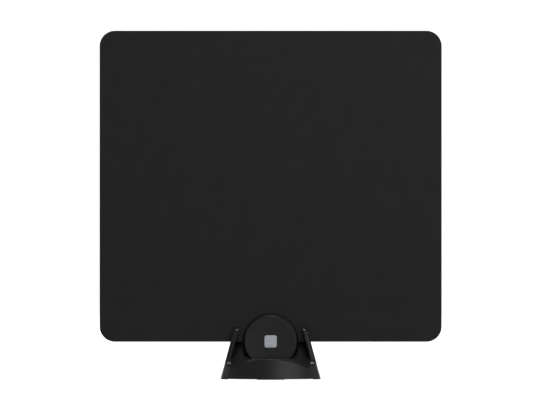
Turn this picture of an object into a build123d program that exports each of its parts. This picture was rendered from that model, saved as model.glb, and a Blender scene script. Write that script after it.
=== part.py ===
from build123d import *
import os
from math import cos, radians, sin, tan

# Flat indoor television antenna: a thin laminated sheet, a round feed housing on its
# lower edge and a small moulded stand. Millimetres, +Z up, +Y away from the viewer,
# the origin on the table under the middle of the sheet.

# Sheet
SHEET_WIDTH = 335.2
SHEET_HEIGHT = 304.8
SHEET_CORNER = 15.0
SHEET_DROP = 0.6
FRONT_FILM = 0.25
REAR_FILM = 0.35

# Conductors inside the sheet
FOIL = 0.1
FOIL_MARGIN = 15.0
FOIL_TRACK = 26.0
FOIL_SPLIT = 8.0
FOIL_CORNER = 10.0
FEED_TAB = 12.0
FOIL_SCREW_GAP = 1.5

# Feed housing
CAP_RIM_RADIUS = 27.5
CAP_DRAFT = 13.5
FRONT_CAP_DEPTH = 8.5
REAR_CAP_DEPTH = 8.5
CAP_WALL = 1.8
CAP_EDGE = 1.2
FACE_DISH = 0.7
BADGE_SIDE = 12.0
BADGE_CORNER = 2.2
BADGE_THICKNESS = 0.7
BADGE_RECESS = 0.5
BADGE_GAP = 0.1

# Housing screws
SCREW_ANGLE = 60.0
SCREW_RADIUS = 1.1
SCREW_HEAD_RADIUS = 2.2
SCREW_HEAD = 1.5
SCREW_BITE = 5.0
CROSS_LENGTH = 2.6
CROSS_WIDTH = 0.6
CROSS_DEPTH = 0.8
BOSS_RADIUS = 2.75
POST_RADIUS = 3.7
POST_MARGIN = 0.5
HEAD_SEAT = 4.0

# Matching board and what it carries
BOARD = 1.6
BOARD_SIDE_GAP = 7.0
BOARD_POST_GAP = 4.3
RIVET_RADIUS = 1.0
RIVET_HEAD_RADIUS = 2.0
RIVET_HEAD = 0.6
RIVET_MARGIN = 5.5
RIVET_RISE = 6.0
BALUN_WIDTH = 6.0
BALUN_HEIGHT = 7.0
BALUN_DEPTH = 3.8
BALUN_HOLE_RADIUS = 0.85
BALUN_HOLE_PITCH = 2.6
BALUN_DROP = 3.0
WIRE_RADIUS = 0.2
WIRE_TURNS = 3
CHIP_LENGTH = 2.0
CHIP_WIDTH = 1.25
CHIP_HEIGHT = 0.9
CHIP_PITCH = 3.0
CHIP_COUNT = 2
BOARD_PART_GAP = 2.3

# Threaded cable socket
SOCKET_BASE = 14.0
BARREL_RADIUS = 4.75
BARREL_LENGTH = 11.5
BARREL_NECK = 0.3
BARREL_BORE_RADIUS = 3.6
BARREL_LEAD = 0.6
INSULATOR_RECESS = 0.8
INSULATOR_STEM_RADIUS = 2.0
CONTACT_RADIUS = 0.9
CONTACT_BORE_RADIUS = 0.5
CONTACT_DEPTH = 9.0
CONTACT_ENTRY_RADIUS = 0.7
CONTACT_ENTRY = 1.0
TAIL_RADIUS = 0.45
LEG_RADIUS = 0.55
LEG_PITCH = 10.0

# Stand
SIDE_LEAN = 15.0
SIDE_WALL = 4.5
OUTER_EDGE = 2.6
INNER_EDGE = 1.0
SIDE_PROUD = 0.7
BAY_CLEARANCE = 7.25
BASE_REACH = 30.0
FRONT_RADIUS = 100.0
FRONT_LEAN = 5.0
FRONT_CORNER = 12.0
LIP_HEIGHT = 20.1
LIP_ARCH_RADIUS = 78.0
LIP_SHOULDER = 12.0
LIP_BLEND = 8.0
LIP_WALL = 2.4
LIP_EDGE = 0.8
SLOT_DEPTH = 14.2
ARM_FRONT_TOP = 9.5
ARM_FRONT_FOOT = 14.0
ARM_CORNER = 5.0
ARM_SWEEP = 9.0
ARM_KNEE = 21.0
ARM_KNEE_BLEND = 20.0
WALL = 2.2
POCKET_FLOOR = 8.6
POCKET_GAP = 0.5
DECK_HEIGHT = 11.0
DECK_RAMP = 37.0
DECK_TOP = 34.6
DECK_BLEND = 8.0
BACK_TOP = 45.0
BACK_WALL = 2.8
BACK_EDGE = 0.9
BACK_GAP = 2.2
NOTCH_WIDTH = 24.0
RIB = 1.6
PAD_HEIGHT = 0.55
CENTRE_PAD = 27.0
CORNER_PAD = 3.0

# Clearances
SEAT_GAP = 0.3
SLOT_GAP = 0.2
FIT = 0.05

# Places that follow from the sizes above
side_slope = tan(radians(SIDE_LEAN))
front_slope = tan(radians(FRONT_LEAN))
cap_slope = tan(radians(CAP_DRAFT))
sheet_thickness = FRONT_FILM + REAR_FILM
sheet_front = -sheet_thickness / 2
sheet_rear = sheet_thickness / 2
film_joint = sheet_front + FRONT_FILM
axis_z = POCKET_FLOOR + POCKET_GAP + CAP_RIM_RADIUS
sheet_bottom = axis_z - SHEET_DROP
sheet_middle = sheet_bottom + SHEET_HEIGHT / 2
front_face = sheet_front - FRONT_CAP_DEPTH
rear_face = sheet_rear + REAR_CAP_DEPTH
badge_seat = front_face + FACE_DISH + BADGE_RECESS
front_face_radius = CAP_RIM_RADIUS - FRONT_CAP_DEPTH * cap_slope
rear_face_radius = CAP_RIM_RADIUS - REAR_CAP_DEPTH * cap_slope
screw_circle = min(front_face_radius, rear_face_radius) - POST_RADIUS - POST_MARGIN
screw_x = screw_circle * cos(radians(SCREW_ANGLE))
screw_rise = screw_circle * sin(radians(SCREW_ANGLE))
board_rear = sheet_rear + BOARD
board_half_width = CAP_RIM_RADIUS - CAP_WALL - BOARD_SIDE_GAP
board_half_height = screw_rise - POST_RADIUS - BOARD_POST_GAP
rivet_x = board_half_width - RIVET_MARGIN
rivet_z = sheet_bottom + RIVET_RISE
barrel_end = rear_face + BARREL_LENGTH
arm_top = sheet_bottom + SLOT_DEPTH
back_front = rear_face + BACK_GAP
back_rear_top = back_front + BACK_WALL
ramp_foot = back_front - (DECK_TOP - DECK_HEIGHT) / tan(radians(DECK_RAMP))
side_half_inner = CAP_RIM_RADIUS + BAY_CLEARANCE + axis_z * side_slope
side_half_outer = side_half_inner + SIDE_WALL
side_half_middle = (side_half_inner + side_half_outer) / 2
front_centre = FRONT_RADIUS - BASE_REACH
rear_slope = (BASE_REACH - SIDE_PROUD - back_rear_top) / BACK_TOP
far = SHEET_WIDTH
tall = arm_top + SHEET_HEIGHT


def prism_along_x(points, half_length):
    """A solid from an outline of (y, z) points, as long to the left as to the right."""
    return extrude(Plane.YZ * make_face(Polyline(*points, close=True)), half_length, both=True)


def prism_along_y(face, near, end):
    """A solid from a face drawn in x and z, from y = near to y = end."""
    return extrude(Plane.XZ.offset(-near) * face, near - end)


def rod(x, z, radius, near, end):
    """A round bar along y."""
    return prism_along_y(Pos(x, z) * Circle(radius), near, end)


def block(x0, x1, y0, y1, z0, z1):
    """A box between two corners."""
    return Pos((x0 + x1) / 2, (y0 + y1) / 2, (z0 + z1) / 2) * Box(x1 - x0, y1 - y0, z1 - z0)


def turned(profile):
    """A solid of revolution about the housing's axis, from a profile of radius and y."""
    return Pos(0, 0, axis_z) * revolve(profile, Axis.Y)


def circle_edges(solid, radius):
    """The round edges of a solid that have one radius."""
    circles = solid.edges().filter_by(GeomType.CIRCLE)
    return [edge for edge in circles if abs(edge.radius - radius) < FIT]


def screw_places():
    """The four screws as (x, z), the lower two below the sheet's edge."""
    return [(sx * screw_x, axis_z + sz * screw_rise) for sx in (-1, 1) for sz in (-1, 1)]


# Sheet


def sheet_layer(near, end):
    """One layer of the sheet with its screw and rivet holes."""
    outline = Pos(0, sheet_middle) * RectangleRounded(SHEET_WIDTH, SHEET_HEIGHT, SHEET_CORNER)
    layer = prism_along_y(outline, near, end)
    for x, z in screw_places():
        layer -= rod(x, z, SCREW_RADIUS + SEAT_GAP, near - 1, end + 1)
    for side in (-1, 1):
        layer -= rod(side * rivet_x, rivet_z, RIVET_RADIUS + FIT, near - 1, end + 1)
    return layer


def antenna_element(side):
    """One conductor: a broad loop over half the sheet with a tab down to its rivet."""
    width = (SHEET_WIDTH - FOIL_SPLIT) / 2 - FOIL_MARGIN
    height = SHEET_HEIGHT - 2 * FOIL_MARGIN
    middle = side * (FOIL_SPLIT + width) / 2
    loop = RectangleRounded(width, height, FOIL_CORNER)
    loop -= RectangleRounded(width - 2 * FOIL_TRACK, height - 2 * FOIL_TRACK, FOIL_CORNER / 2)
    tab_bottom = sheet_bottom + RIVET_RISE - RIVET_HEAD_RADIUS - FOIL_SCREW_GAP
    tab_top = sheet_bottom + FOIL_MARGIN + FOIL_TRACK / 2
    tab = Pos(side * rivet_x, (tab_bottom + tab_top) / 2) * Rectangle(FEED_TAB, tab_top - tab_bottom)
    outline = Pos(middle, sheet_middle) * loop + tab
    element = prism_along_y(outline, film_joint, film_joint + FOIL)
    for x, z in screw_places():
        element -= rod(x, z, SCREW_RADIUS + SEAT_GAP + FOIL_SCREW_GAP, film_joint - 1, film_joint + 1)
    return element - rod(side * rivet_x, rivet_z, RIVET_RADIUS + FIT, film_joint - 1, film_joint + 1)


def panel_rear_film(elements):
    """The back skin, pocketed for the conductors."""
    film = sheet_layer(film_joint, sheet_rear)
    for element in elements:
        film -= element
    return film


def feed_rivets():
    """Two headed rivets through the sheet and the board."""
    rivets = []
    for side in (-1, 1):
        rivet = rod(side * rivet_x, rivet_z, RIVET_RADIUS, sheet_front, board_rear)
        rivet += rod(side * rivet_x, rivet_z, RIVET_HEAD_RADIUS, sheet_front - RIVET_HEAD, sheet_front)
        rivet += rod(side * rivet_x, rivet_z, RIVET_HEAD_RADIUS, board_rear, board_rear + RIVET_HEAD)
        rivets.append(rivet)
    return Compound(rivets)


# Feed housing


def badge_outline(gap):
    """The badge's rounded square, grown by a gap."""
    side = BADGE_SIDE + 2 * gap
    return Pos(0, axis_z) * RectangleRounded(side, side, BADGE_CORNER + gap)


def badge_plate():
    """A bare plate let into the middle of the front face."""
    plate = prism_along_y(badge_outline(0), badge_seat - BADGE_THICKNESS, badge_seat)
    return fillet(plate.faces().sort_by(Axis.Y)[0].edges(), BADGE_THICKNESS / 4)


def front_cap_shell():
    """A shallow turned cup with a drafted flank and a faintly dished face."""
    inner_face = front_face + CAP_WALL
    inner_radius = CAP_RIM_RADIUS - CAP_WALL
    inner_face_radius = inner_radius - (sheet_front - inner_face) * cap_slope
    dish = front_face + FACE_DISH
    face = TangentArc((0, dish), (front_face_radius, front_face), tangent=(1, 0))
    rest = Polyline(
        (front_face_radius, front_face),
        (CAP_RIM_RADIUS, sheet_front),
        (inner_radius, sheet_front),
        (inner_face_radius, inner_face),
        (0, inner_face),
        (0, dish),
    )
    shell = turned(make_face(face + rest))
    return fillet(circle_edges(shell, front_face_radius), CAP_EDGE)


def housing_front_cap():
    """The front half: shell, screw bosses and the badge's recess."""
    cap = front_cap_shell()
    for x, z in screw_places():
        cap += rod(x, z, BOSS_RADIUS, front_face + CAP_WALL / 2, sheet_front)
        cap -= rod(x, z, SCREW_RADIUS + FIT, sheet_front - SCREW_BITE - SEAT_GAP, sheet_front + 1)
    return cap - prism_along_y(badge_outline(BADGE_GAP), front_face - 1, badge_seat)


def rear_cap_shell():
    """The back cup, which below the sheet reaches forward to meet the front half."""
    inner_face = rear_face - CAP_WALL
    inner_radius = CAP_RIM_RADIUS - CAP_WALL
    inner_face_radius = inner_radius - (inner_face - sheet_rear) * cap_slope
    profile = make_face(
        Polyline(
            (0, rear_face),
            (rear_face_radius, rear_face),
            (CAP_RIM_RADIUS, sheet_rear),
            (inner_radius, sheet_rear),
            (inner_face_radius, inner_face),
            (0, inner_face),
            close=True,
        )
    )
    shell = turned(profile)
    shell = fillet(circle_edges(shell, rear_face_radius), CAP_EDGE)
    ring = rod(0, axis_z, CAP_RIM_RADIUS, sheet_front, sheet_rear)
    ring -= rod(0, axis_z, inner_radius, sheet_front - 1, sheet_rear + 1)
    lower = block(-far, far, sheet_front, sheet_rear, 0, sheet_bottom - FIT)
    return shell + (ring & lower)


def housing_rear_cap():
    """The back half: shell, counterbored screw posts and the socket's hole."""
    cap = rear_cap_shell()
    for x, z in screw_places():
        post_end = sheet_rear if z > axis_z else sheet_front
        cap += rod(x, z, POST_RADIUS, post_end, rear_face - CAP_WALL / 2)
        cap -= rod(x, z, SCREW_RADIUS + SEAT_GAP, post_end - 1, rear_face + 1)
        cap -= rod(x, z, SCREW_HEAD_RADIUS + SEAT_GAP, rear_face - HEAD_SEAT, rear_face + 1)
    return cap - rod(0, axis_z, BARREL_RADIUS, rear_face - CAP_WALL - 1, rear_face + 1)


def housing_screw(x, z):
    """One screw: shank, head and a cross recess."""
    seat = rear_face - HEAD_SEAT
    screw = rod(x, z, SCREW_RADIUS, sheet_front - SCREW_BITE, seat)
    screw += rod(x, z, SCREW_HEAD_RADIUS, seat, seat + SCREW_HEAD)
    for length, width in ((CROSS_LENGTH, CROSS_WIDTH), (CROSS_WIDTH, CROSS_LENGTH)):
        recess = Pos(x, z) * Rectangle(length, width)
        screw -= prism_along_y(recess, seat + SCREW_HEAD - CROSS_DEPTH, seat + SCREW_HEAD + 1)
    return screw


def housing_screws():
    """The four screws of the housing."""
    return Compound([housing_screw(x, z) for x, z in screw_places()])


# Matching board


def leg_places():
    """The socket's four legs as (x, z)."""
    half = LEG_PITCH / 2
    return [(sx * half, axis_z + sz * half) for sx in (-1, 1) for sz in (-1, 1)]


def matching_board():
    """The circuit board with holes for the rivets, the legs and the contact's tail."""
    outline = Pos(0, axis_z) * Rectangle(2 * board_half_width, 2 * board_half_height)
    board = prism_along_y(outline, sheet_rear, board_rear)
    for side in (-1, 1):
        board -= rod(side * rivet_x, rivet_z, RIVET_RADIUS + FIT, sheet_rear - 1, board_rear + 1)
    for x, z in leg_places():
        board -= rod(x, z, LEG_RADIUS + FIT, sheet_rear - 1, board_rear + 1)
    return board - rod(0, axis_z, TAIL_RADIUS + FIT, sheet_rear - 1, board_rear + 1)


def balun_centre():
    """The middle of the ferrite core as (x, y, z)."""
    x = -(SOCKET_BASE / 2 + BOARD_PART_GAP + BALUN_WIDTH / 2)
    return x, board_rear + BALUN_DEPTH / 2, axis_z - BALUN_DROP


def balun_core():
    """A ferrite block with two holes side by side."""
    x, y, z = balun_centre()
    core = Pos(x, y, z) * Box(BALUN_WIDTH, BALUN_DEPTH, BALUN_HEIGHT)
    core = fillet(core.edges().filter_by(Axis.Z), BALUN_DEPTH / 4)
    for side in (-1, 1):
        hole = Cylinder(BALUN_HOLE_RADIUS, BALUN_HEIGHT + 2)
        core -= Pos(x + side * BALUN_HOLE_PITCH / 2, y, z) * hole
    return core


def balun_winding():
    """Turns of wire that go up one hole of the core and down the other."""
    x, y, z = balun_centre()
    loop = Rectangle(BALUN_HOLE_PITCH, BALUN_HEIGHT + 4 * WIRE_RADIUS)
    loop = chamfer(loop.vertices(), 2 * WIRE_RADIUS)
    pitch = 2 * (WIRE_RADIUS + FIT)
    turns = []
    for turn in range(WIRE_TURNS):
        step = (turn - (WIRE_TURNS - 1) / 2) * pitch
        path = Plane((x, y + step, z), x_dir=(1, 0, 0), z_dir=(0, -1, 0)) * loop.wire()
        start = path @ 0
        section = Plane(start, z_dir=path % 0) * Circle(WIRE_RADIUS)
        turns.append(sweep(section, path, transition=Transition.RIGHT))
    return Compound(turns)


def chip_capacitors():
    """Small chips in a row on the other side of the socket."""
    x = SOCKET_BASE / 2 + BOARD_PART_GAP + CHIP_LENGTH / 2
    chips = []
    for place in range(CHIP_COUNT):
        z = axis_z - BALUN_DROP + (place - (CHIP_COUNT - 1) / 2) * CHIP_PITCH
        chips.append(Pos(x, board_rear + CHIP_HEIGHT / 2, z) * Box(CHIP_LENGTH, CHIP_HEIGHT, CHIP_WIDTH))
    return Compound(chips)


# Cable socket


def coax_socket_body():
    """A square base on the board, a neck through the back cap and the round barrel."""
    shoulder = rear_face - CAP_WALL
    base = Pos(0, axis_z) * RectangleRounded(SOCKET_BASE, SOCKET_BASE, 1)
    body = prism_along_y(base, board_rear, shoulder)
    body += rod(0, axis_z, BARREL_RADIUS - BARREL_NECK, shoulder, rear_face)
    barrel = rod(0, axis_z, BARREL_RADIUS, rear_face, barrel_end)
    body += chamfer(barrel.edges().group_by(Axis.Y)[-1], BARREL_LEAD)
    for x, z in leg_places():
        body += rod(x, z, LEG_RADIUS, sheet_rear, board_rear)
    body -= rod(0, axis_z, BARREL_BORE_RADIUS, rear_face, barrel_end + 1)
    return body - rod(0, axis_z, INSULATOR_STEM_RADIUS, board_rear - 1, rear_face)


def coax_insulator():
    """The white core of the barrel with its stem down to the board."""
    end = barrel_end - INSULATOR_RECESS
    core = rod(0, axis_z, BARREL_BORE_RADIUS - FIT, rear_face + FIT, end)
    core += rod(0, axis_z, INSULATOR_STEM_RADIUS - FIT, board_rear, rear_face + FIT)
    core -= rod(0, axis_z, CONTACT_RADIUS + FIT, board_rear - 1, end - CONTACT_ENTRY)
    return core - rod(0, axis_z, CONTACT_ENTRY_RADIUS, end - CONTACT_ENTRY - 1, end + 1)


def coax_contact():
    """The centre contact: a bored pin with a thin tail through the board."""
    end = barrel_end - INSULATOR_RECESS - CONTACT_ENTRY
    contact = rod(0, axis_z, CONTACT_RADIUS, board_rear, end)
    contact -= rod(0, axis_z, CONTACT_BORE_RADIUS, end - CONTACT_DEPTH, end + 1)
    return contact + rod(0, axis_z, TAIL_RADIUS, sheet_rear, board_rear)


# Stand


def front_cone(grow):
    """The rounded front of the base, a wide cone with its axis behind the stand."""
    foot = FRONT_RADIUS + grow
    height = 2 * arm_top
    cone = Cone(foot, foot - height * front_slope, height, align=(Align.CENTER, Align.CENTER, Align.MIN))
    return Pos(0, front_centre, 0) * cone


def between_sides(half_at_table):
    """The space between two leaning planes, by its half width at the table."""
    low, high = -1.0, arm_top + 1
    outline = Polyline(
        (half_at_table - low * side_slope, low),
        (half_at_table - high * side_slope, high),
        (high * side_slope - half_at_table, high),
        (low * side_slope - half_at_table, low),
        close=True,
    )
    return prism_along_y(make_face(outline), -far, far)


def between_arms():
    """The space between the arms, which is upright at their roots and leans above."""
    low, high = -1.0, arm_top + 1
    root = side_half_inner - ARM_KNEE * side_slope
    top = side_half_inner - high * side_slope
    outline = FilletPolyline(
        (root, low),
        (root, ARM_KNEE),
        (top, high),
        (-top, high),
        (-root, ARM_KNEE),
        (-root, low),
        radius=(0, ARM_KNEE_BLEND, 0, 0, ARM_KNEE_BLEND, 0),
        close=True,
    )
    return prism_along_y(make_face(outline), -far, far)


def outer_form():
    """The base's outer form: the rounded front, the leaning sides and soft corners between them."""
    form = front_cone(0) & between_sides(side_half_outer)
    corners = [edge for edge in form.edges() if edge.center().Y < 0 and abs(edge.tangent_at(0.5).Z) > 0.5]
    return fillet(corners, FRONT_CORNER)


def rear_line(z, inset):
    """Where the sloping back lies at height z, drawn in from the side walls' edge."""
    return BASE_REACH - inset - z * rear_slope


def rim_edges(wall, outside):
    """The upper long edges of one side wall, on its outer or on its inner face."""
    found = []
    for edge in wall.edges():
        middle = edge.center()
        long = abs(edge.tangent_at(0.5).X) < 0.5 and middle.Z > LIP_SHOULDER - FIT
        outer = abs(middle.X) + middle.Z * side_slope > side_half_middle
        if long and outer == outside:
            found.append(edge)
    return found


def side_walls():
    """Two leaning walls that sweep up into slotted arms, rounder along their outer edges."""
    outline = FilletPolyline(
        (-far, 0),
        (-far, LIP_SHOULDER),
        (-ARM_FRONT_FOOT, LIP_SHOULDER),
        (-ARM_FRONT_TOP, arm_top),
        (rear_line(arm_top, 0), arm_top),
        (rear_line(0, 0), 0),
        radius=(0, 0, ARM_SWEEP, ARM_CORNER, ARM_CORNER, 0),
        close=True,
    )
    profile = extrude(Plane.YZ * make_face(outline), far, both=True)
    walls = (profile & between_sides(side_half_outer)) - between_arms()
    rounded = []
    for wall in walls.solids():
        wall = fillet(rim_edges(wall, outside=False), INNER_EDGE)
        rounded.append(fillet(rim_edges(wall, outside=True), OUTER_EDGE))
    return rounded[0] + rounded[1]


def bay(grow):
    """The space above the ramped deck and before the back wall, grown for the skin around it."""
    floor = DECK_HEIGHT - grow
    back = back_front + grow
    blend = DECK_BLEND + grow
    outline = FilletPolyline(
        (back, tall),
        (-far, tall),
        (-far, floor),
        (ramp_foot + grow * tan(radians(DECK_RAMP / 2)), floor),
        (back, DECK_TOP - grow * tan(radians(45 - DECK_RAMP / 2))),
        radius=(0, 0, 0, blend, blend),
        close=True,
    )
    return extrude(Plane.YZ * make_face(outline), far, both=True)


def housing_space(gap):
    """The housing's outer form grown by a gap all round."""
    profile = Polyline(
        (0, front_face - gap),
        (front_face_radius + gap, front_face - gap),
        (CAP_RIM_RADIUS + gap, sheet_front),
        (CAP_RIM_RADIUS + gap, sheet_rear),
        (rear_face_radius + gap, rear_face + gap),
        (0, rear_face + gap),
        close=True,
    )
    return turned(make_face(profile))


def notch(grow):
    """The round-bottomed notch in the back wall, which leaves the socket free."""
    radius = NOTCH_WIDTH / 2 + grow
    outline = Pos(0, axis_z) * Circle(radius)
    outline += Pos(0, (axis_z + tall) / 2) * Rectangle(2 * radius, tall - axis_z)
    return prism_along_y(outline, 0, far)


def under_lip():
    """What lies below the front wall's top, an arch that eases into level shoulders."""
    arch = Pos(0, LIP_HEIGHT - LIP_ARCH_RADIUS) * Circle(LIP_ARCH_RADIUS)
    shoulder = Pos(0, LIP_SHOULDER - LIP_ARCH_RADIUS) * Rectangle(2 * far, 2 * LIP_ARCH_RADIUS)
    outline = arch + shoulder
    bends = [v for v in outline.vertices() if abs(v.Y - LIP_SHOULDER) < FIT and abs(v.X) < LIP_ARCH_RADIUS]
    return prism_along_y(fillet(bends, LIP_BLEND), -far, 0) & block(-far, far, -far, 0, 0, tall)


def front_lip():
    """The curved front wall, rounded along its top."""
    lip = (front_cone(0) - front_cone(-LIP_WALL)) & between_sides(side_half_middle) & under_lip()
    upper = [edge for edge in lip.edges() if edge.center().Z > LIP_SHOULDER - FIT]
    return fillet([edge for edge in upper if abs(edge.tangent_at(0.5).X) > 0.5], LIP_EDGE)


def deck_and_back():
    """The ramped deck and the back wall between the side walls."""
    depth = [(-far, 0), (-far, BACK_TOP), (rear_line(BACK_TOP, SIDE_PROUD), BACK_TOP)]
    middle = prism_along_x(depth + [(rear_line(0, SIDE_PROUD), 0)], far)
    middle &= front_cone(-LIP_WALL / 2)
    middle &= between_sides(side_half_middle)
    middle -= bay(0)
    top = middle.faces().sort_by(Axis.Z)[-1]
    return fillet(top.edges().filter_by(Axis.X), BACK_EDGE)


def underside_hollow():
    """The hollow under the deck and inside the back, parted by two ribs."""
    depth = [(-far, -1), (-far, BACK_TOP), (rear_line(BACK_TOP, SIDE_PROUD + WALL), BACK_TOP)]
    hollow = prism_along_x(depth + [(rear_line(-1, SIDE_PROUD + WALL), -1)], far)
    hollow &= Pos(0, 0, -1) * front_cone(-LIP_WALL)
    hollow &= between_sides(side_half_inner)
    hollow -= bay(WALL) + housing_space(POCKET_GAP + WALL) + notch(WALL)
    for side in (-1, 1):
        middle = side * (CENTRE_PAD - RIB) / 2
        hollow -= block(middle - RIB / 2, middle + RIB / 2, -far, far, PAD_HEIGHT, tall)
    return hollow


def pad_relief():
    """Shallow cuts under the front and back walls, which leave three pads each."""
    end = side_half_inner - CORNER_PAD
    cut = block(CENTRE_PAD / 2, end, -far, far, -1, PAD_HEIGHT)
    return cut + mirror(cut, Plane.YZ)


def sheet_slots():
    """The slots in the arms that the sheet stands in."""
    half = sheet_thickness / 2 + SLOT_GAP
    return block(-far, far, -half, half, sheet_bottom, tall)


def stand_body():
    """The one-piece moulded stand."""
    body = side_walls() + front_lip() + deck_and_back()
    body &= outer_form()
    body -= underside_hollow()
    body -= housing_space(POCKET_GAP) + notch(0)
    return body - sheet_slots() - pad_relief()


def build():
    """Every piece by name."""
    elements = {side: antenna_element(side) for side in (-1, 1)}
    return {
        "panel_front_film": sheet_layer(sheet_front, film_joint),
        "panel_rear_film": panel_rear_film(elements.values()),
        "antenna_element_left": elements[-1],
        "antenna_element_right": elements[1],
        "feed_rivets": feed_rivets(),
        "housing_front_cap": housing_front_cap(),
        "housing_rear_cap": housing_rear_cap(),
        "housing_screws": housing_screws(),
        "badge_plate": badge_plate(),
        "matching_board": matching_board(),
        "balun_core": balun_core(),
        "balun_winding": balun_winding(),
        "chip_capacitors": chip_capacitors(),
        "coax_socket_body": coax_socket_body(),
        "coax_insulator": coax_insulator(),
        "coax_contact": coax_contact(),
        "stand_body": stand_body(),
    }


os.makedirs("parts", exist_ok=True)
for name, shape in build().items():
    export_step(shape, f"parts/{name}.step")
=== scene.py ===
import math

import bmesh
import bpy
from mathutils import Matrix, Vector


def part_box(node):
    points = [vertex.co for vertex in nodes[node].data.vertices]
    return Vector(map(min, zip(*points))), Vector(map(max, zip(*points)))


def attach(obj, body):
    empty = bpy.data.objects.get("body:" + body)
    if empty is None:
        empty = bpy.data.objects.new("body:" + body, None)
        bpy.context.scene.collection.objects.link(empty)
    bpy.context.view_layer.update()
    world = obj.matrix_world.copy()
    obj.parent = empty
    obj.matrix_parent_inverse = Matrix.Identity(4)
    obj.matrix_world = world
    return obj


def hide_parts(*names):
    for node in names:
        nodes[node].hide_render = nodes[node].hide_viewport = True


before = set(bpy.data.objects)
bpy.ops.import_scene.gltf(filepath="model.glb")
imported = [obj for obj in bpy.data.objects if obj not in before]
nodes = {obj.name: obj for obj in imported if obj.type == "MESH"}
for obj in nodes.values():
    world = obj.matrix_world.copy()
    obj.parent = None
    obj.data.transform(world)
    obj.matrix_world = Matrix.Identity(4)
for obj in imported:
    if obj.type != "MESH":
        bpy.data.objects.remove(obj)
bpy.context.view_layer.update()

# The photograph's frame in pixels: its size, and the sheet's sides and foot in it
PICTURE = (533, 400)
SHEET_LEFT, SHEET_RIGHT = 99.6, 441.65
SHEET_FOOT = 341.8

# The camera: its distance and farthest view in metres, and its sensor's width in millimetres
DISTANCE = 4.0
FARTHEST = 50.0
SENSOR = 36.0

# The stage: its size, its tone, how it glows, and the distances between which the floor brightens to white
STAGE_RADIUS = 8.0
STAGE_STEPS = 96
WALL_HEIGHT = 1.6
STAGE_TONE = 0.35
FLOOR_GLOW = (0.8, 1.0)
WALL_GLOW = (1.0, 1.0)
FLOOR_GRADE = (0.7, 2.0)

# The light of the surroundings, and soft lamps by place, aim, sides in metres and power in watts
WORLD_TONE = 0.36
LAMPS = {
    "key": ((0.67, -1.8, 0.55), (0.0, 0.0, 0.12), (1.0, 0.9), 13.2),
    "left": ((-2.0, -0.5, 0.5), (0.0, 0.0, 0.1), (2.0, 0.9), 7.5),
    "right": ((2.0, -0.7, 0.5), (0.0, 0.0, 0.1), (2.0, 0.9), 8.5),
    "top": ((0.1, -0.8, 1.95), (0.0, 0.0, 0.1), (0.5, 0.6), 31.0),
    "back": ((-0.5, 1.7, 1.2), (0.0, 0.0, 0.1), (0.9, 0.6), 32.0),
}

# What finishes share: the noise's detail, the span of it that tones run over, and the grain's strength
PATCH_DETAIL = 3.0
GRAIN_DETAIL = 2.0
TONE_STOPS = (0.3, 0.7)
RELIEF_STRENGTH = 0.5

# The stretch of a brushed grain, which runs level
BRUSHED = (1, 1, 8)

# Finishes: darker and lighter tone, roughness range, patches and grain in waves per metre, relief in metres
FINISHES = {
    "matte_black_film": {
        "tones": ((0.0076, 0.0076, 0.0078), (0.0093, 0.0093, 0.0095)),
        "rough": (0.5, 0.6), "patch": 60, "grain": 2500, "relief": 0.00002, "specular": 0.08,
    },
    "moulded_black": {
        "tones": ((0.0062, 0.0062, 0.0064), (0.0078, 0.0078, 0.0080)),
        "rough": (0.3, 0.4), "patch": 90, "grain": 3000, "relief": 0.00001, "specular": 0.11,
    },
    "stand_black": {
        "tones": ((0.0048, 0.0048, 0.0050), (0.0060, 0.0060, 0.0062)),
        "rough": (0.25, 0.33), "patch": 90, "grain": 3000, "relief": 0.00001, "specular": 0.13,
    },
    "satin_silver": {
        "tones": ((0.205, 0.22, 0.235), (0.245, 0.26, 0.275)),
        "rough": (0.35, 0.5), "patch": 500, "grain": 4000, "relief": 0.00001, "metal": 0.6,
        "stretch": BRUSHED,
    },
    "bright_foil": {
        "tones": ((0.70, 0.70, 0.71), (0.78, 0.78, 0.79)),
        "rough": (0.2, 0.35), "patch": 80, "grain": 900, "relief": 0.00002, "metal": 1.0,
    },
    "plain_brass": {
        "tones": ((0.66, 0.48, 0.2), (0.76, 0.58, 0.28)),
        "rough": (0.25, 0.4), "patch": 300, "grain": 3000, "relief": 0.00001, "metal": 1.0,
    },
    "dark_plated_steel": {
        "tones": ((0.10, 0.10, 0.105), (0.16, 0.16, 0.165)),
        "rough": (0.3, 0.45), "patch": 300, "grain": 3000, "relief": 0.00001, "metal": 1.0,
    },
    "board_green": {
        "tones": ((0.02, 0.13, 0.05), (0.03, 0.17, 0.07)),
        "rough": (0.3, 0.45), "patch": 200, "grain": 1500, "relief": 0.00002,
    },
    "dull_ferrite": {
        "tones": ((0.045, 0.045, 0.048), (0.07, 0.07, 0.072)),
        "rough": (0.6, 0.8), "patch": 500, "grain": 3000, "relief": 0.00003,
    },
    "enamelled_copper": {
        "tones": ((0.5, 0.2, 0.08), (0.62, 0.28, 0.12)),
        "rough": (0.2, 0.3), "patch": 400, "grain": 3000, "relief": 0.00001, "metal": 1.0,
    },
    "chip_ceramic": {
        "tones": ((0.33, 0.25, 0.16), (0.42, 0.32, 0.22)),
        "rough": (0.5, 0.6), "patch": 800, "grain": 3000, "relief": 0.00001,
    },
    "nickel_plate": {
        "tones": ((0.58, 0.56, 0.52), (0.68, 0.66, 0.62)),
        "rough": (0.15, 0.28), "patch": 300, "grain": 2500, "relief": 0.00001, "metal": 1.0,
    },
    "waxy_white": {
        "tones": ((0.74, 0.74, 0.71), (0.82, 0.82, 0.79)),
        "rough": (0.35, 0.5), "patch": 300, "grain": 1500, "relief": 0.00002,
    },
}

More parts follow.
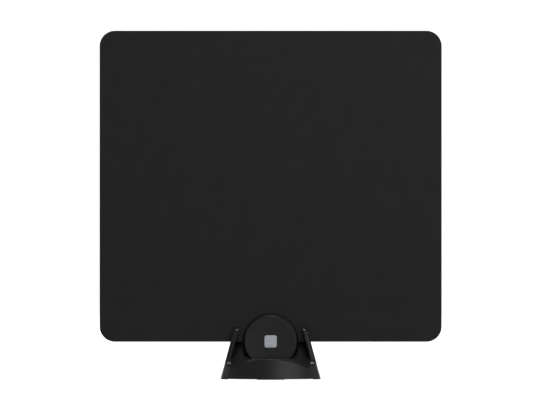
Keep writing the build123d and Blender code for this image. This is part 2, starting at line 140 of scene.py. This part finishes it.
# Which parts have which finish
WORN_BY = {
    "matte_black_film": ("panel_front_film", "panel_rear_film"),
    "moulded_black": ("housing_front_cap", "housing_rear_cap"),
    "stand_black": ("stand_body",),
    "satin_silver": ("badge_plate",),
    "bright_foil": ("antenna_element_left", "antenna_element_right"),
    "plain_brass": ("feed_rivets", "coax_contact"),
    "dark_plated_steel": ("housing_screws",),
    "board_green": ("matching_board",),
    "dull_ferrite": ("balun_core",),
    "enamelled_copper": ("balun_winding",),
    "chip_ceramic": ("chip_capacitors",),
    "nickel_plate": ("coax_socket_body",),
    "waxy_white": ("coax_insulator",),
}

# The threaded cable socket, in metres: radii, its base's corners, neck and legs
BARREL_RADIUS = 0.00475
BARREL_LEAD = 0.0006
BORE_RADIUS = 0.0036
STEM_RADIUS = 0.002
NECK_RADIUS = 0.00445
NECK_LENGTH = 0.0018
BASE_CORNER = 0.001
LEG_RADIUS = 0.00055
LEG_PLACE = 0.005

# Its 3/8 inch thread, with the flanks' slope in depths per pitch and the root's half width in pitches
THREAD_PITCH = 0.000794
THREAD_DEPTH = 0.00045
THREAD_FLANK = 4.0
THREAD_ROOT = 0.125

# How finely the socket is divided, and the angle in degrees from which its edges are sharp
THREAD_STEPS = 8
SOCKET_SIDES = 96
LEG_SIDES = 16
SHARP_ANGLE = 35


def add(name, data):
    """A new object in the scene."""
    piece = bpy.data.objects.new(name, data)
    bpy.context.scene.collection.objects.link(piece)
    return piece


def node_tree(name):
    """A new material with an empty node tree and its output node."""
    material = bpy.data.materials.new(name)
    material.use_nodes = True
    tree = material.node_tree
    tree.nodes.clear()
    output = tree.nodes.new("ShaderNodeOutputMaterial")
    return material, tree, output


def noise(tree, scale, detail, stretch):
    """Object-space noise, as a factor from 0 to 1. The scale is in waves per metre."""
    place = tree.nodes.new("ShaderNodeTexCoord")
    shape = tree.nodes.new("ShaderNodeMapping")
    shape.inputs["Scale"].default_value = stretch
    field = tree.nodes.new("ShaderNodeTexNoise")
    field.inputs["Scale"].default_value = scale
    field.inputs["Detail"].default_value = detail
    tree.links.new(place.outputs["Object"], shape.inputs["Vector"])
    tree.links.new(shape.outputs["Vector"], field.inputs["Vector"])
    return field.outputs["Fac"]


def ramp(tree, factor, low, high):
    """A colour or grey that runs from low to high as the factor goes over its middle range."""
    node = tree.nodes.new("ShaderNodeValToRGB")
    for stop, value, place in zip(node.color_ramp.elements, (low, high), TONE_STOPS):
        stop.position = place
        stop.color = (*value, 1.0) if isinstance(value, tuple) else (value, value, value, 1.0)
    tree.links.new(factor, node.inputs["Fac"])
    return node.outputs["Color"]


def bump(tree, height, distance):
    """A surface normal raised by a height field."""
    node = tree.nodes.new("ShaderNodeBump")
    node.inputs["Distance"].default_value = distance
    node.inputs["Strength"].default_value = RELIEF_STRENGTH
    tree.links.new(height, node.inputs["Height"])
    return node.outputs["Normal"]


def surface(name, tones, rough, patch, grain, relief, metal=0.0, specular=0.5, stretch=(1, 1, 1)):
    """One finish: two close colours, a roughness range and a fine grain in relief."""
    material, tree, output = node_tree(name)
    shader = tree.nodes.new("ShaderNodeBsdfPrincipled")
    shader.inputs["Metallic"].default_value = metal
    shader.inputs["Specular IOR Level"].default_value = specular
    patches = noise(tree, patch, PATCH_DETAIL, stretch)
    fine = noise(tree, grain, GRAIN_DETAIL, stretch)
    tree.links.new(ramp(tree, patches, *tones), shader.inputs["Base Color"])
    tree.links.new(ramp(tree, fine, *rough), shader.inputs["Roughness"])
    tree.links.new(bump(tree, fine, relief), shader.inputs["Normal"])
    tree.links.new(shader.outputs["BSDF"], output.inputs["Surface"])
    return material


def dress():
    """Puts each finish on the parts of the frame that have it."""
    for name, finish in FINISHES.items():
        material = surface(name, **finish)
        for node in WORN_BY[name]:
            mesh = nodes[node].data
            mesh.materials.clear()
            mesh.materials.append(material)


def thread_radius(turn, y, foot, end):
    """The barrel's radius at a part of a turn and a place along it: crests, roots, run-out and lead."""
    phase = (y / THREAD_PITCH - turn) % 1.0
    tooth = min(1.0, max(0.0, THREAD_FLANK * (abs(phase - 0.5) - THREAD_ROOT)))
    runout = min(1.0, (y - foot) / THREAD_PITCH)
    lead = BARREL_RADIUS - BARREL_LEAD + end - y
    return min(BARREL_RADIUS - THREAD_DEPTH * (1.0 - tooth) * runout, lead)


def square_radius(turn, half):
    """The radius of the socket's square base with its round corners, at a part of a turn."""
    angle = 2 * math.pi * turn
    long, short = sorted((abs(math.cos(angle)), abs(math.sin(angle))), reverse=True)
    corner = half - BASE_CORNER
    if half * short / long <= corner:
        return half / long
    reach = corner * (long + short)
    return reach + math.sqrt(reach ** 2 - 2 * corner ** 2 + BASE_CORNER ** 2)


def ring(x, z, y, radii):
    """One closed row of points around an axis along y, by their radii."""
    turns = [2 * math.pi * i / len(radii) for i in range(len(radii))]
    return [(x + r * math.cos(a), y, z + r * math.sin(a)) for a, r in zip(turns, radii)]


def bridge(first, second, sides):
    """The faces between two rows of points, by where the rows start."""
    steps = [(i, (i + 1) % sides) for i in range(sides)]
    return [(first + i, first + j, second + j, second + i) for i, j in steps]


def socket_rows(low, high, board):
    """The socket's rows of points, from the hole in its base out over the thread and back."""
    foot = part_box("housing_rear_cap")[1].y
    middle = (low.z + high.z) / 2
    turns = [i / SOCKET_SIDES for i in range(SOCKET_SIDES)]
    square = [square_radius(turn, (high.x - low.x) / 2) for turn in turns]
    hole, bore, neck = ([r] * SOCKET_SIDES for r in (STEM_RADIUS, BORE_RADIUS, NECK_RADIUS))
    rows = [(board, hole), (foot, hole), (foot, bore), (high.y, bore)]
    count = round((high.y - foot) / THREAD_PITCH * THREAD_STEPS)
    for step in range(count + 1):
        y = high.y + (foot - high.y) * step / count
        rows.append((y, [thread_radius(turn, y, foot, high.y) for turn in turns]))
    shoulder = foot - NECK_LENGTH
    rows += [(foot, neck), (shoulder, neck), (shoulder, square), (board, square)]
    return [ring(0.0, middle, y, radii) for y, radii in rows]


def socket_shell():
    """The points and faces of the socket's closed shell and its four legs."""
    low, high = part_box("coax_socket_body")
    middle = (low.z + high.z) / 2
    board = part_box("matching_board")[1].y
    rows = socket_rows(low, high, board)
    points = [point for row in rows for point in row]
    starts = [SOCKET_SIDES * i for i in range(len(rows))]
    faces = []
    for first, second in zip(starts, starts[1:] + starts[:1]):
        faces += bridge(first, second, SOCKET_SIDES)
    for sx in (-1, 1):
        for sz in (-1, 1):
            first = len(points)
            for y in (low.y, board):
                points += ring(sx * LEG_PLACE, middle + sz * LEG_PLACE, y, [LEG_RADIUS] * LEG_SIDES)
            faces += bridge(first, first + LEG_SIDES, LEG_SIDES)
            faces += [tuple(range(start, start + LEG_SIDES)) for start in (first, first + LEG_SIDES)]
    return points, faces


def threaded_socket():
    """The cable socket with its thread in relief, in place of the plain one."""
    points, faces = socket_shell()
    mesh = bpy.data.meshes.new("threaded_socket")
    mesh.from_pydata(points, [], faces)
    shell = bmesh.new()
    shell.from_mesh(mesh)
    bmesh.ops.recalc_face_normals(shell, faces=shell.faces)
    shell.to_mesh(mesh)
    shell.free()
    mesh.shade_smooth()
    mesh.set_sharp_from_angle(angle=math.radians(SHARP_ANGLE))
    mesh.materials.append(nodes["coax_socket_body"].data.materials[0])
    piece = add("threaded_socket", mesh)
    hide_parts("coax_socket_body")
    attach(piece, "root")


def combine(tree, operation, first, second):
    """One number worked out from two."""
    node = tree.nodes.new("ShaderNodeMath")
    node.operation = operation
    tree.links.new(first, node.inputs[0])
    tree.links.new(second, node.inputs[1])
    return node.outputs[0]


def seen_rays(tree):
    """1 where the stage is seen, directly, mirrored or through glass, and 0 where it only lights."""
    light_path = tree.nodes.new("ShaderNodeLightPath")
    seen = light_path.outputs["Is Camera Ray"]
    for ray in ("Is Glossy Ray", "Is Transmission Ray"):
        seen = combine(tree, "MAXIMUM", seen, light_path.outputs[ray])
    return seen


def graded(tree, near, far):
    """A strength that goes from near to far with the distance from the object."""
    place = tree.nodes.new("ShaderNodeTexCoord")
    reach = tree.nodes.new("ShaderNodeVectorMath")
    reach.operation = "LENGTH"
    tree.links.new(place.outputs["Object"], reach.inputs[0])
    grade = tree.nodes.new("ShaderNodeMapRange")
    for socket, value in zip(grade.inputs[1:5], (*FLOOR_GRADE, near, far)):
        socket.default_value = value
    tree.links.new(reach.outputs["Value"], grade.inputs["Value"])
    return grade.outputs["Result"]


def pale_stage(name, glow):
    """A pale finish that shows white behind the object and still takes its shadow close by."""
    material, tree, output = node_tree(name)
    light = tree.nodes.new("ShaderNodeEmission")
    strength = combine(tree, "MULTIPLY", seen_rays(tree), graded(tree, *glow))
    tree.links.new(strength, light.inputs["Strength"])
    matte = tree.nodes.new("ShaderNodeBsdfDiffuse")
    matte.inputs["Color"].default_value = (STAGE_TONE, STAGE_TONE, STAGE_TONE, 1.0)
    both = tree.nodes.new("ShaderNodeAddShader")
    tree.links.new(light.outputs[0], both.inputs[0])
    tree.links.new(matte.outputs[0], both.inputs[1])
    tree.links.new(both.outputs[0], output.inputs["Surface"])
    return material


def stage():
    """A wide floor with a low wall all round it."""
    turns = [2 * math.pi * i / STAGE_STEPS for i in range(STAGE_STEPS)]
    edge = [(STAGE_RADIUS * math.cos(a), STAGE_RADIUS * math.sin(a)) for a in turns]
    floor = bpy.data.meshes.new("floor")
    floor.from_pydata([(x, y, 0.0) for x, y in edge], [], [list(range(STAGE_STEPS))])
    floor.materials.append(pale_stage("pale_floor", FLOOR_GLOW))
    wall = bpy.data.meshes.new("wall")
    points = [(x, y, z) for z in (0.0, WALL_HEIGHT) for x, y in edge]
    wall.from_pydata(points, [], bridge(0, STAGE_STEPS, STAGE_STEPS))
    wall.materials.append(pale_stage("pale_wall", WALL_GLOW))
    for mesh in (floor, wall):
        add(mesh.name, mesh)


def softbox(name, place, aim, sides, power):
    """A soft lamp at a place, turned to a point."""
    lamp = bpy.data.lights.new(name, "AREA")
    lamp.shape = "RECTANGLE"
    lamp.size, lamp.size_y = sides
    lamp.energy = power
    piece = add(name, lamp)
    piece.location = place
    direction = [a - b for a, b in zip(aim, place)]
    level = math.hypot(direction[0], direction[1])
    piece.rotation_euler = (math.atan2(level, -direction[2]), 0.0, math.atan2(-direction[0], direction[1]))


def lights():
    """A soft key from the front right, a weak fill on each side, a lamp above and one behind."""
    world = bpy.data.worlds.new("studio")
    bpy.context.scene.world = world
    world.use_nodes = True
    surroundings = world.node_tree.nodes["Background"]
    surroundings.inputs["Color"].default_value = (WORLD_TONE, WORLD_TONE, WORLD_TONE, 1.0)
    for name, lamp in LAMPS.items():
        softbox(name, *lamp)


def camera():
    """A long lens level with the object, framed as the photograph is."""
    low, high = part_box("panel_front_film")
    scale = (high.x - low.x) / (SHEET_RIGHT - SHEET_LEFT)
    lens = bpy.data.cameras.new("camera")
    lens.sensor_width = SENSOR
    lens.lens = SENSOR * DISTANCE / (PICTURE[0] * scale)
    lens.clip_end = FARTHEST
    piece = add("camera", lens)
    across = ((SHEET_LEFT + SHEET_RIGHT) / 2 - PICTURE[0] / 2) * scale
    rise = low.z + (SHEET_FOOT - PICTURE[1] / 2) * scale
    piece.location = (-across, -DISTANCE, rise)
    piece.rotation_euler = (math.pi / 2, 0.0, 0.0)
    bpy.context.scene.camera = piece


dress()
threaded_socket()
stage()
lights()
camera()
bpy.context.scene.view_settings.view_transform = "Standard"
